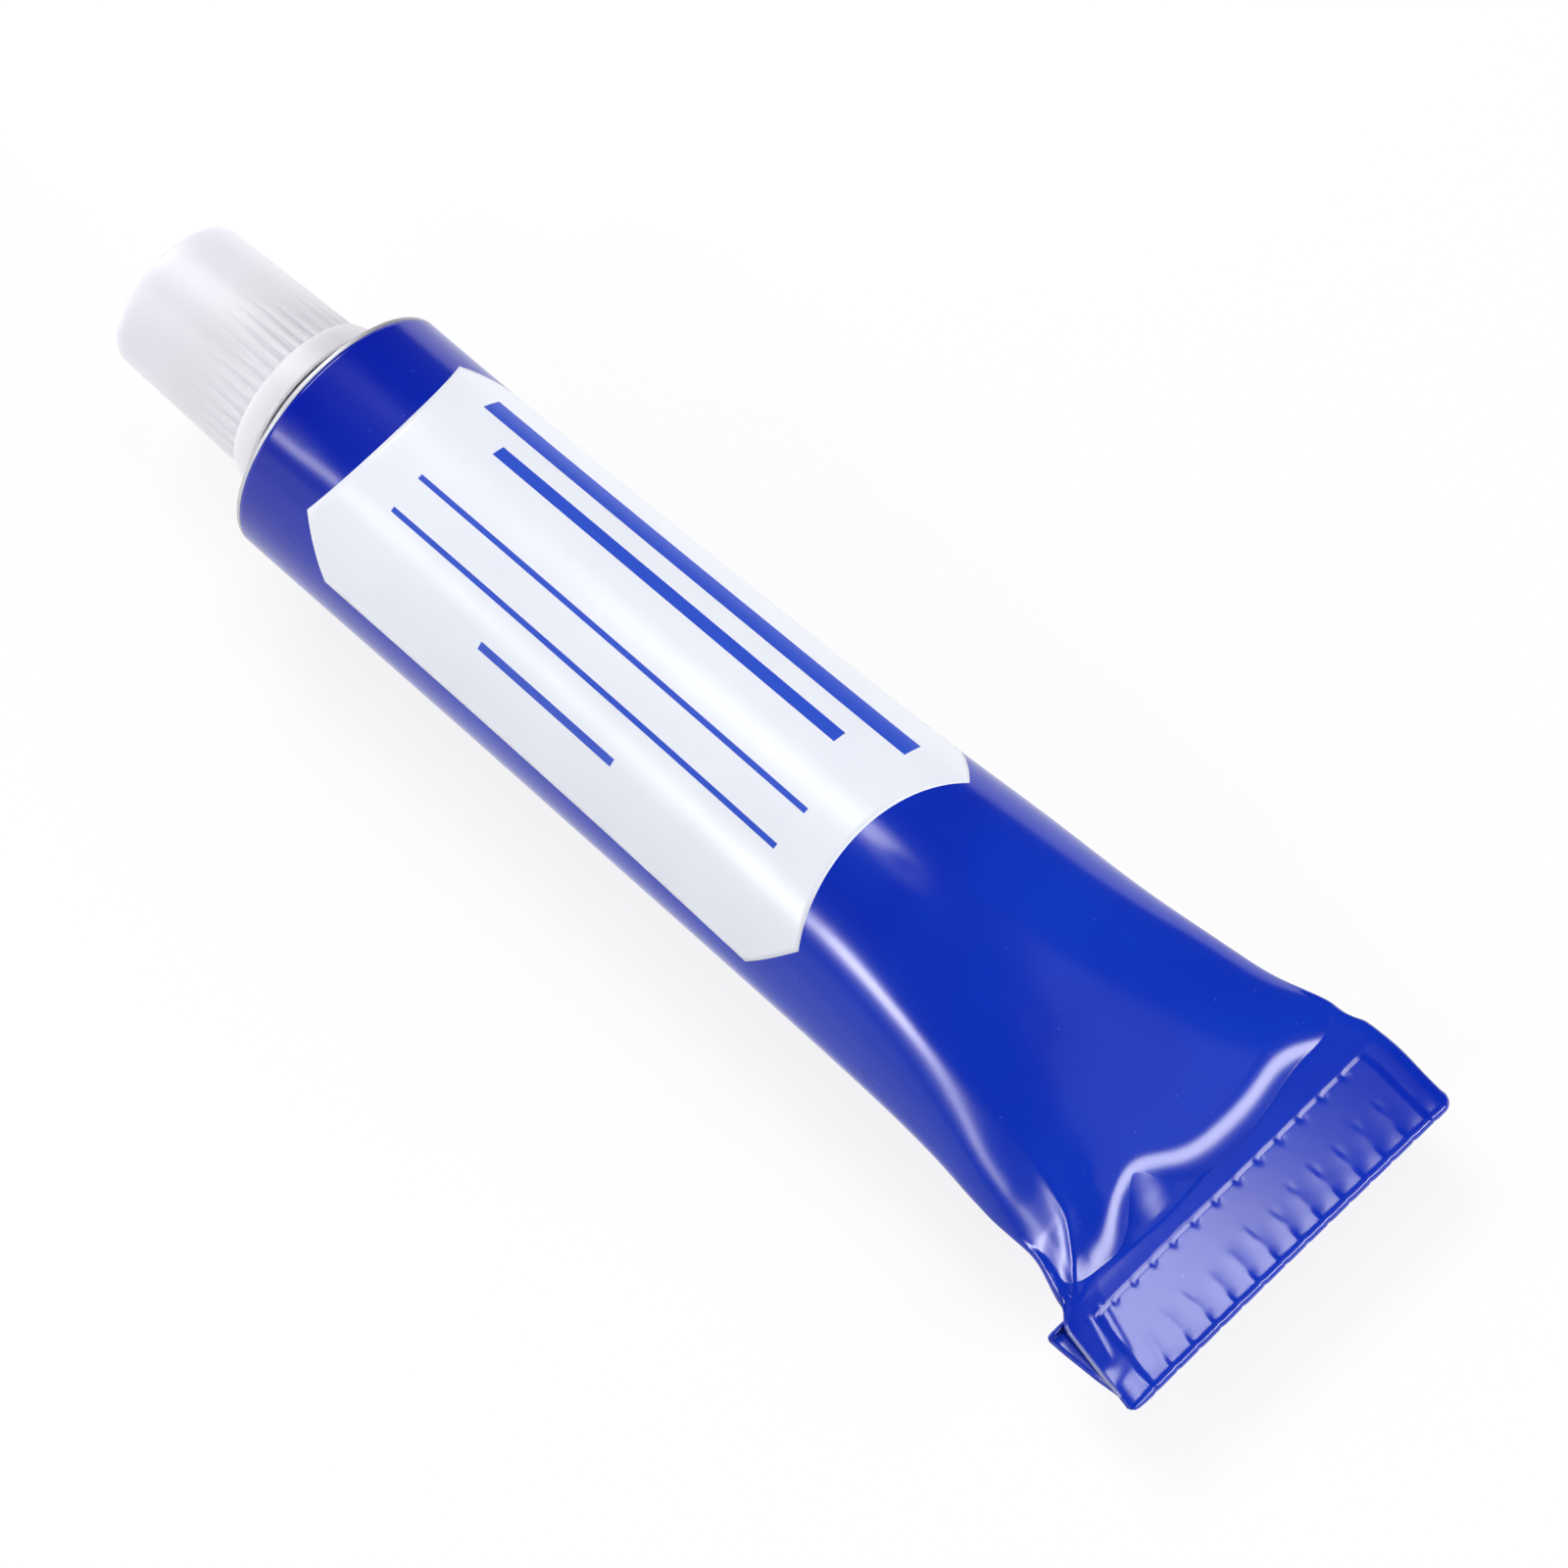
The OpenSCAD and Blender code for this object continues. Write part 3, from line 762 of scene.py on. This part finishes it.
corner_c = np.linspace(LABEL_TIP, LABEL_SIDE, 13)
tip_c = np.linspace(-LABEL_TIP, LABEL_TIP, 61)
c = np.concatenate([-corner_c[::-1], tip_c[1:-1], corner_c])[None, :]
v = np.linspace(0, 1, 91)[:, None]
ends = label_edge(c)
label_s = label_start + ends + (label_len - 2 * ends) * v
label_round = 0.25 + LABEL_TURN / 360 + c / (2 * np.pi * tube_r) + 0 * v
label_uv = np.stack([label_s - label_start, c + 0 * v], -1)
label_top, label_under = (tube_wall(label_s, label_round, -gap) for gap in (INK_TOP, INK_UNDER))
label = film_piece("printed_panel", label_top, label_under, label_uv)
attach(label, "tube")
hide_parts("label_panel")

# %% [markdown]
# ## Inside the tube
# The glue lies level in the tube with air above it, and a band of latex seals the fold. Each could be cut
# out of the tube's inside with a Boolean, which is slow and leaves poor faces. So both follow the wall at
# a larger inset, and the glue's points that would stand above its level are brought down to it.

# %% Glue and latex
GLUE_INSET, LATEX_INSET = WALL + 0.12, WALL + 0.02
GLUE_START, GLUE_END = 0.3, sleeve_len - 3.5
LATEX_MARGIN = 0.1
LUMP_AROUND = 120


def lump(name, distances, inset_, level=np.inf):
    """A closed piece that fills the wall between two distances, under a level, with a fan at each end."""
    points = tube_wall(distances[:, None], np.arange(LUMP_AROUND)[None, :] / LUMP_AROUND, inset_)
    points[..., 2] = np.minimum(points[..., 2], level)
    return grid_piece(name, points)


glue = lump("rubber_cement", np.linspace(GLUE_START, GLUE_END, 90), GLUE_INSET, glue_high[2])
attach(glue, "tube")
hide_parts("glue_fill")

latex_run = np.linspace(LATEX_MARGIN, RUNS[-1] - LATEX_MARGIN, 120)
latex = lump("latex_band", sleeve_len + latex_run, LATEX_INSET)
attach(latex, "tube")
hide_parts("tail_sealant")

# %% [markdown]
# ## Turned pieces
# The head, membrane, liner and cap are turned about the tube's axis. A Screw modifier could spin them,
# but not with threads and flutes. So a profile of radius and height goes round the axis on a grid, and
# the radius may change with the angle. Heights are measured from the shoulder rim outwards, towards the
# cap.

# %% Turning helpers


def spun(heights, radii, angles):
    """Points of a profile carried round the tube's axis: x falls with height, y and z go round."""
    x = rim_x - heights + 0 * angles
    return np.stack([x, radii * np.sin(angles), tube_r + radii * np.cos(angles)], -1)


def line(start, end, count):
    """Points of a straight from start up to, but not including, end, as radius and height."""
    return np.linspace(start, end, count, endpoint=False)


def corner(centre, r, start, end, count=6):
    """Points of an arc about a centre, with its angles in degrees from the radius axis."""
    t = np.radians(np.linspace(start, end, count))
    return np.stack([centre[0] + r * np.cos(t), centre[1] + r * np.sin(t)], -1)


def full_turn(count):
    """A row of count angles, evenly spaced round the axis."""
    return np.arange(count)[None, :] * 2 * np.pi / count


# %% Thread
PITCH, RIDGE_ROOT, RIDGE_CREST, RIDGE_DEPTH = 2.0, 0.8, 0.4, 0.55
RIDGE_FADE, THREAD_MARGIN = 0.15, 1.4
NECK_R, NOZZLE_R = 4.8, web_high[1]
RIM_H, SHOULDER_H, HEAD_T = 0.3, 3.1, 1.0
shoulder_slope = SHOULDER_H / (tube_r - NECK_R)
neck_root = RIM_H + SHOULDER_H
neck_tip = rim_x - head_low[0]
thread_start = neck_root + THREAD_MARGIN
thread_turns = (neck_tip - neck_root - 2 * THREAD_MARGIN) / PITCH


def ridge(heights, angles, start, turns):
    """Share of a thread ridge's full depth at a height and angle: 1 on its crest, 0 off its root. The
    nearest turn of the helix is found by rounding, and the ridge fades in and out at its ends."""
    turn = angles / (2 * np.pi) + np.round((heights - start) / PITCH - angles / (2 * np.pi))
    gap = np.abs(heights - start - PITCH * turn)
    flank = np.clip((RIDGE_ROOT / 2 - gap) / ((RIDGE_ROOT - RIDGE_CREST) / 2), 0, 1)
    fade = np.clip(np.minimum(turn, turns - turn) / (RIDGE_FADE * turns), 0, 1)
    return flank * fade


print(f"neck {neck_tip - neck_root:.1f} mm long, {thread_turns:.1f} turns of thread")

# %% [markdown]
# ## Head and membrane
# The head is bare aluminium: a thin rim that shows as a bright line beside the cap, a shoulder cone and
# a threaded neck. A thin web closes the nozzle until the point in the cap breaks it. Both could share one
# mesh, but the web is a piece that gets broken, so each has its own profile.

# %% Head
EDGE_R, RIM_R, ROOT_R, TIP_R, MOUTH_R = 0.08, 0.12, 0.35, 0.3, 0.15
inner_rim = tube_r - (HEAD_T - RIM_H) / shoulder_slope
inner_base = RIM_H + shoulder_slope * (tube_r - NOZZLE_R) - HEAD_T
head_profile = np.concatenate([
    line((inner_rim, 0), (tube_r - EDGE_R, 0), 6),
    corner((tube_r - EDGE_R, EDGE_R), EDGE_R, -90, 0, 4),
    corner((tube_r - RIM_R, RIM_H - 0.02), RIM_R, 0, 62, 5),
    line((tube_r - RIM_R, RIM_H + 0.10), (NECK_R + 0.4, neck_root - 0.2), 24),
    corner((NECK_R + ROOT_R, neck_root + 0.25), ROOT_R, 243, 180, 6),
    line((NECK_R, neck_root + 0.3), (NECK_R, neck_tip - TIP_R), 84),
    corner((NECK_R - TIP_R, neck_tip - TIP_R), TIP_R, 0, 90, 6),
    line((NECK_R - 0.4, neck_tip), (NOZZLE_R + MOUTH_R, neck_tip), 5),
    corner((NOZZLE_R + MOUTH_R, neck_tip - MOUTH_R), MOUTH_R, 90, 180, 5),
    line((NOZZLE_R, neck_tip - 0.2), (NOZZLE_R, inner_base), 24),
    line((NOZZLE_R, inner_base), (inner_rim, 0), 24),
])
angles = full_turn(192)
radius, height = head_profile[:, :1], head_profile[:, 1:]
on_neck = np.abs(radius - NECK_R) < 1e-6
radius = radius + on_neck * RIDGE_DEPTH * ridge(height, angles, thread_start, thread_turns)
head = grid_piece("shoulder_and_neck", spun(height, radius, angles), fanned=False)
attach(head, "tube")
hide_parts("tube_head")

# %% Membrane
AXIS_R, WEB_DROP = 0.1, 0.02
web_t = web_high[0] - web_low[0]
web_r = NOZZLE_R - 0.01
web_profile = np.concatenate([
    line((AXIS_R, neck_tip - WEB_DROP), (web_r - 0.5, neck_tip - 0.06), 8),
    corner((web_r - 0.3, neck_tip - WEB_DROP), 0.2, 200, 340, 8),
    line((web_r, neck_tip - WEB_DROP), (web_r, neck_tip - web_t), 4),
    line((web_r, neck_tip - web_t), (AXIS_R, neck_tip - web_t), 8),
])
disc_angles = full_turn(96)
web = grid_piece("nozzle_web", spun(web_profile[:, 1:], web_profile[:, :1], disc_angles))
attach(web, "tube")
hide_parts("nozzle_membrane")

# %% [markdown]
# ## Screw cap and liner
# The cap is moulded polythene: a plain flared collar, a tapering wall with fine flutes that fade out on
# the way up, a soft top edge, and in its top a recess with the piercing point. The flutes could be cut
# one by one; here the radius is the lesser of the tapering wall and straight grooves, so they fade by
# themselves. Inside is the matching thread, half a pitch from the neck's, and a foam liner with a ring
# that the neck has pressed into it.

# %% Cap sizes
THREAD_GAP = 0.3
BORE_R = NECK_R + RIDGE_DEPTH + THREAD_GAP
CAP_R = BORE_R + 1.4
CAP_TOP_R = CAP_R - 0.43
RECESS_R = CAP_TOP_R - 2.2
LIP_R, COLLAR_EDGE_R, TOP_EDGE_R, RECESS_EDGE_R = 0.2, 0.12, 0.8, 0.2
POINT_R, POINT_TIP_R = 1.7, 0.15
FLUTES, FLUTE_DEPTH, FLUTE_HALF = 40, 0.22, 0.4
FLUTE_ROUND, FLUTE_BLEND = 0.05, 0.04
collar_r = cap_high[1]
cap_base = rim_x - cap_high[0]
cap_top = rim_x - cap_low[0]
collar_top = cap_base + 1.9
lip_base = RIM_H + shoulder_slope * (tube_r - collar_r) + 0.25
crown_base = rim_x - liner_low[0] + 0.05
recess_base = crown_base + 1.2
point_top = cap_top - 0.9
print(f"cap {cap_top - cap_base:.1f} mm tall, collar {2 * collar_r:.1f} mm across")

# %% Cap profile
cap_profile = np.concatenate([
    line((POINT_TIP_R, crown_base), (BORE_R, crown_base), 14),
    line((BORE_R, crown_base), (BORE_R, collar_top), 72),
    line((BORE_R, collar_top), (collar_r - 0.7, lip_base + 0.35), 10),
    line((collar_r - 0.7, lip_base + 0.35), (collar_r - 0.3, lip_base + 0.15), 4),
    corner((collar_r - LIP_R, lip_base + 0.25), LIP_R, 243, 360, 8),
    line((collar_r, lip_base + 0.3), (CAP_R + 0.33, collar_top - COLLAR_EDGE_R), 12),
    corner((CAP_R + 0.19, collar_top - COLLAR_EDGE_R), COLLAR_EDGE_R, 10, 90, 5),
    line((CAP_R + 0.12, collar_top), (CAP_R, collar_top + 0.04), 3),
    line((CAP_R, collar_top + 0.06), (CAP_R, collar_top + 0.5), 8),
    line((CAP_R - 0.01, collar_top + 0.5), (CAP_TOP_R, cap_top - TOP_EDGE_R), 40),
    corner((CAP_TOP_R - TOP_EDGE_R, cap_top - TOP_EDGE_R), TOP_EDGE_R, 0, 90, 10),
    line((CAP_TOP_R - 0.9, cap_top), (RECESS_R + RECESS_EDGE_R, cap_top), 6),
    corner((RECESS_R + RECESS_EDGE_R, cap_top - RECESS_EDGE_R), RECESS_EDGE_R, 90, 180, 5),
    line((RECESS_R, cap_top - 0.3), (RECESS_R, recess_base), 12),
    line((RECESS_R, recess_base), (POINT_R, recess_base), 8),
    line((POINT_R, recess_base), (POINT_TIP_R, point_top), 24),
    line((POINT_TIP_R, point_top), (AXIS_R, point_top + 0.03), 2),
])
print("points in the cap's profile:", len(cap_profile))

# %% Cap
angles = full_turn(10 * FLUTES)
radius, height = cap_profile[:, :1], cap_profile[:, 1:]
in_bore = np.abs(radius - BORE_R) < 1e-6
bore_ridge = RIDGE_DEPTH * ridge(height, angles, thread_start + PITCH / 2, thread_turns - 0.5)
on_wall = (radius > CAP_TOP_R - 0.05) & (height > collar_top + 0.2) & (height < cap_top - 0.5)
from_flute = np.abs(np.mod(angles * FLUTES / (2 * np.pi) + 0.5, 1) - 0.5) * 2 * np.pi * CAP_R / FLUTES
flank = FLUTE_DEPTH / FLUTE_HALF * np.sqrt(from_flute ** 2 + FLUTE_ROUND ** 2)
groove = CAP_R - FLUTE_DEPTH + flank
fluted = (radius + groove - np.sqrt((radius - groove) ** 2 + FLUTE_BLEND ** 2)) / 2
radius = np.where(on_wall, np.minimum(fluted, radius), radius - in_bore * bore_ridge)
cap = grid_piece("fluted_cap", spun(height, radius, angles))
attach(cap, "cap")
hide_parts("screw_cap")

# %% Liner
LINER_EDGE_R, IMPRINT_R, IMPRINT_DROP = 0.2, 2.04, 2.0
liner_r = liner_high[1]
liner_base, liner_top = rim_x - liner_high[0], rim_x - liner_low[0]
liner_profile = np.concatenate([
    line((AXIS_R, liner_base), (NOZZLE_R, liner_base), 6),
    corner(((NOZZLE_R + NECK_R) / 2, liner_base - IMPRINT_DROP), IMPRINT_R, 118, 62, 9),
    line((NECK_R, liner_base), (liner_r - LINER_EDGE_R, liner_base), 4),
    corner((liner_r - LINER_EDGE_R, liner_base + LINER_EDGE_R), LINER_EDGE_R, -90, 0, 6),
    corner((liner_r - LINER_EDGE_R, liner_top - LINER_EDGE_R), LINER_EDGE_R, 0, 90, 6),
    line((liner_r - 0.3, liner_top), (AXIS_R, liner_top), 10),
])
liner = grid_piece("foam_liner", spun(liner_profile[:, 1:], liner_profile[:, :1], disc_angles))
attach(liner, "liner")
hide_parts("cap_liner")

# %% [markdown]
# ## Blue enamel
# The sleeve is roller-coated with stove enamel: a deep glossy blue film on the metal, slightly uneven
# like orange peel, with a few pale specks. To the eye it is dark blue with sharp highlights, and darkest
# near the rim. A plain glossy colour would look like plastic, so the blue is drawn darker towards the
# rim, a broad cloud varies it away from the rim, and a fine bump gives the peel. Where the attribute says
# so, at raw ends and cracked folds, the bare aluminium shows.

# %% Blue enamel material
DARK_RUN = 25
SPECK_SHARE = 0.04
enamel, tree = new_material("stove_enamel_blue")
place = add(tree, "TexCoord").outputs["Object"]
cloud = add(tree, "TexNoise", {"Vector": place, "Scale": scale_of(14), "Detail": 3.0})
along_tube = add(tree, "SeparateXYZ", {0: place})
# Darker towards the rim: the share of the lighter blue rises from nothing at the rim to full at DARK_RUN mm
# in
from_rim = {"Value": along_tube.outputs[0], "From Min": rim_x * MM, "From Max": (rim_x + DARK_RUN) * MM}
away_from_rim = add(tree, "MapRange", from_rim)
paler = add(tree, "Math", {0: cloud.outputs[0], 1: away_from_rim.outputs[0]}, operation="MULTIPLY")
blue = add(tree, "MixRGB", {0: paler.outputs[0], 1: linear("#001aa0"), 2: linear("#0e3cc0")})
specks = add(tree, "TexVoronoi", {"Vector": place, "Scale": scale_of(1.6)})
speck = add(tree, "Math", {0: specks.outputs["Distance"], 1: SPECK_SHARE}, operation="LESS_THAN")
dotted = add(tree, "MixRGB", {0: speck.outputs[0], 1: blue.outputs[0], 2: linear("#4455c8")})
peel = add(tree, "TexNoise", {"Vector": place, "Scale": scale_of(1.6), "Detail": 2.0})
peel_bump = add(tree, "Bump", {"Strength": 0.05, "Distance": 0.05 * MM, "Height": peel.outputs[0]})
film = add(tree, "BsdfPrincipled", {
    "Base Color": dotted.outputs[0], "Roughness": 0.18, "IOR": 1.52, "Normal": peel_bump.outputs[0],
})
metal = add(tree, "BsdfPrincipled", {"Base Color": linear("#d6d8dc"), "Metallic": 1.0, "Roughness": 0.32})
bare_share = add(tree, "Attribute", attribute_name="bare_metal")
coated = add(tree, "MixShader", {0: bare_share.outputs["Fac"], 1: film.outputs[0], 2: metal.outputs[0]})
cover(enamel, coated, tube)

# %% [markdown]
# ## White print
# The panel is white ink, nearly as glossy as the enamel, with plain blue rules, heavy and light ones. The
# rules could be a picture file, but a drawn one stays sharp at any size. So each rule is a pair of
# comparisons on the UV map in millimetres.

# %% White print material
# Each rule: place across, thickness, start and end along the panel
RULES = (
    (-8.0, 2.0, 4.5, 47.5),
    (-4.4, 1.2, 8.5, 43.5),
    (1.4, 0.45, 6.0, 46.0),
    (4.6, 0.45, 6.0, 46.0),
    (8.2, 0.7, 18.0, 32.0),
)
print_white, tree = new_material("white_ink_print")
uv = add(tree, "UVMap", uv_map="millimetres")
parts = add(tree, "SeparateXYZ", {0: uv.outputs[0]})
ink = 0.0
for at, thick, begin, stop in RULES:
    span = {0: parts.outputs[0], 1: (begin + stop) / 2, 2: (stop - begin) / 2}
    lengthwise = add(tree, "Math", span, operation="COMPARE")
    crosswise = add(tree, "Math", {0: parts.outputs[1], 1: at, 2: thick / 2}, operation="COMPARE")
    rule = add(tree, "Math", {0: lengthwise.outputs[0], 1: crosswise.outputs[0]}, operation="MULTIPLY")
    ink = add(tree, "Math", {0: ink, 1: rule.outputs[0]}, operation="MAXIMUM").outputs[0]
place = add(tree, "TexCoord").outputs["Object"]
shade = add(tree, "TexNoise", {"Vector": place, "Scale": scale_of(6), "Detail": 2.0})
white = add(tree, "MixRGB", {0: shade.outputs[0], 1: linear("#e0e3ed"), 2: linear("#e8ebf3")})
printed = add(tree, "MixRGB", {0: ink, 1: white.outputs[0], 2: linear("#2c4fc4")})
skin = add(tree, "BsdfPrincipled", {"Base Color": printed.outputs[0], "Roughness": 0.28, "IOR": 1.48})
cover(print_white, skin, label)

# %% [markdown]
# ## Bare aluminium
# The head is turned on a lathe and left bare, which gives the eye a satin grey with fine rings. A picture
# of brushed metal would run straight across it, so the rings are a wave of the distance from the tube's
# axis. They are drawn a little coarser than real lathe lines, so that they show.

# %% Aluminium
RING_WIDTH = 0.18
aluminium, tree = new_material("turned_aluminium")
place = add(tree, "TexCoord").outputs["Object"]
centred = add(tree, "Mapping", {"Vector": place, "Location": (0, 0, -tube_r * MM), "Scale": (0, 1, 1)})
mottle = add(tree, "TexNoise", {"Vector": centred.outputs[0], "Scale": scale_of(4), "Detail": 1.0})
distance = add(tree, "VectorMath", {0: centred.outputs[0]}, operation="LENGTH")
turns = {0: distance.outputs["Value"], 1: 2 * math.pi * scale_of(RING_WIDTH)}
turns = add(tree, "Math", turns, operation="MULTIPLY")
wave = add(tree, "Math", {0: turns.outputs[0]}, operation="SINE")
lathe = add(tree, "Bump", {"Strength": 0.12, "Distance": 0.02 * MM, "Height": wave.outputs[0]})
tint = add(tree, "MixRGB", {0: mottle.outputs[0], 1: linear("#c4c6cc"), 2: linear("#dcdee2")})
body = add(tree, "BsdfPrincipled", {
    "Base Color": tint.outputs[0], "Metallic": 1.0, "Roughness": 0.55, "Normal": lathe.outputs[0],
})
cover(aluminium, body, head, web)

# %% [markdown]
# ## Polythene
# The cap is moulded in white polythene, which is waxy: light goes in a little way and comes out again, so
# its shades are soft. A plain white plastic would look hard, so the colour scatters under the surface, a
# fine bump gives the mould's grain and a faint cloud breaks up the white.

# %% Polythene
SCATTER = 2
polythene, tree = new_material("moulded_polythene_white")
place = add(tree, "TexCoord").outputs["Object"]
grain = add(tree, "TexNoise", {"Vector": place, "Scale": scale_of(0.6), "Detail": 2.0})
grain_bump = add(tree, "Bump", {"Strength": 0.06, "Distance": 0.04 * MM, "Height": grain.outputs[0]})
cloudy = add(tree, "TexNoise", {"Vector": place, "Scale": scale_of(7), "Detail": 2.0})
tint = add(tree, "MixRGB", {0: cloudy.outputs[0], 1: linear("#dddae2"), 2: linear("#e1dee6")})
body = add(tree, "BsdfPrincipled", {
    "Base Color": tint.outputs[0], "Roughness": 0.38, "IOR": 1.51, "Subsurface Weight": 1.0,
    "Subsurface Radius": (1.0, 1.0, 1.0), "Subsurface Scale": SCATTER * MM, "Normal": grain_bump.outputs[0],
})
cover(polythene, body, cap)

# %% [markdown]
# ## Latex, cement and foam
# The hidden pieces are soft: dull cream latex, glossy amber cement and matt white foam. Each could have a
# plain colour, since it is seldom seen, but two shades and a grain look more real in a cut view. They
# differ only in numbers, so one function makes all three.

# %% Soft finishes


def soft_finish(piece, name, dark, pale, grain_size, roughness, bump):
    """Covers a piece with a soft stuff: two shades mixed by a noise of one grain size, with a little bump.
    Sizes are in millimetres."""
    material, nodes = new_material(name)
    where = add(nodes, "TexCoord").outputs["Object"]
    noise = add(nodes, "TexNoise", {"Vector": where, "Scale": scale_of(grain_size), "Detail": 3.0})
    colour = add(nodes, "MixRGB", {0: noise.outputs[0], 1: linear(dark), 2: linear(pale)})
    rough = add(nodes, "Bump", {"Strength": 0.4, "Distance": bump * MM, "Height": noise.outputs[0]})
    stuff = add(nodes, "BsdfPrincipled", {
        "Base Color": colour.outputs[0], "Roughness": roughness, "Normal": rough.outputs[0],
    })
    cover(material, stuff, piece)


soft_finish(latex, "sealing_latex_cream", "#cbbb8f", "#e0d3ad", 0.8, 0.55, 0.03)
soft_finish(glue, "rubber_cement_amber", "#b98328", "#d9a84a", 6.0, 0.15, 0.02)
soft_finish(liner, "foamed_polythene_liner", "#e6e6e2", "#f6f6f3", 0.2, 0.7, 0.03)
